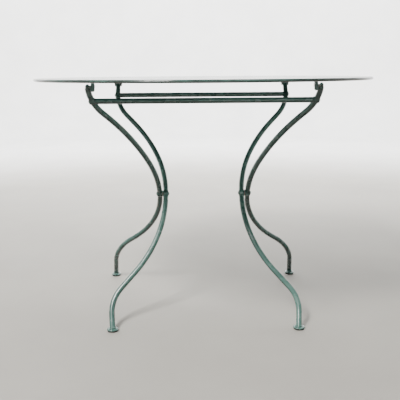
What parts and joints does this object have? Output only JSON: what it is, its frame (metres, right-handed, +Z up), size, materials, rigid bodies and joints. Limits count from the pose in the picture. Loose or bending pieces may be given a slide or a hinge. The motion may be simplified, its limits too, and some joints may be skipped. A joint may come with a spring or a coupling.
{
  "type": "folding bistro table",
  "caption": "Round sheet-steel table top with a rolled rim, hinged and hooked onto two crossed frames of bent round bar that fold flat.",
  "frame": {"origin": "on the floor, under the centre of the round top", "axes": "+Z up; +X to the right, along the cross bars and the hinge axes; -Y towards the near side, where the top hooks onto the outer frame"},
  "size_m": [1, 1, 0.716],
  "materials": {
    "top_paint": "gloss grey-green oil paint, lightly worn",
    "frame_paint": "gloss grey-green oil paint with chips down to dark primer at edges",
    "worn_pin": "steel with traces of green paint, rubbed bright where it turns",
    "bare_steel": "dull bare steel",
    "foot_pad": "matt black"
  },
  "bodies": {
    "inner_frame": {"inner_leg_left": "frame_paint", "inner_leg_right": "frame_paint", "inner_cross_bar": "frame_paint", "pivot_rivet_left": "frame_paint", "pivot_rivet_right": "frame_paint", "pivot_washer_left": "bare_steel", "pivot_washer_right": "bare_steel", "inner_foot_left": "frame_paint", "inner_foot_right": "frame_paint", "inner_pad_left": "foot_pad", "inner_pad_right": "foot_pad"},
    "outer_frame": {"outer_leg_left": "frame_paint", "outer_leg_right": "frame_paint", "outer_cross_bar": "frame_paint", "catch_pin_left": "worn_pin", "catch_pin_right": "worn_pin", "outer_foot_left": "frame_paint", "outer_foot_right": "frame_paint", "outer_pad_left": "foot_pad", "outer_pad_right": "foot_pad"},
    "tabletop": {"tabletop_sheet": "top_paint", "rim_wire": "bare_steel", "strap_left": "frame_paint", "strap_right": "frame_paint", "strap_rivets": "frame_paint", "hinge_bracket_left": "frame_paint", "hinge_bracket_right": "frame_paint", "hinge_pin_left": "worn_pin", "hinge_pin_right": "worn_pin", "catch_claw_left": "frame_paint", "catch_claw_right": "frame_paint", "bracket_rivets": "frame_paint"}
  },
  "joints": [
    {"name": "top_tilt", "type": "hinge", "parent": "inner_frame", "child": "tabletop", "pos_m": [0, 0.23737, 0.695], "axis": [-1, 0, 0], "range_deg": [0, 125]},
    {"name": "scissor", "type": "hinge", "parent": "inner_frame", "child": "outer_frame", "pos_m": [0, 0, 0.356], "axis": [-1, 0, 0], "range_deg": [0, 65.2]}
  ],
  "couplings": [
    {"joint": "scissor", "follows": "top_tilt", "ratio": 0.5216}
  ]
}
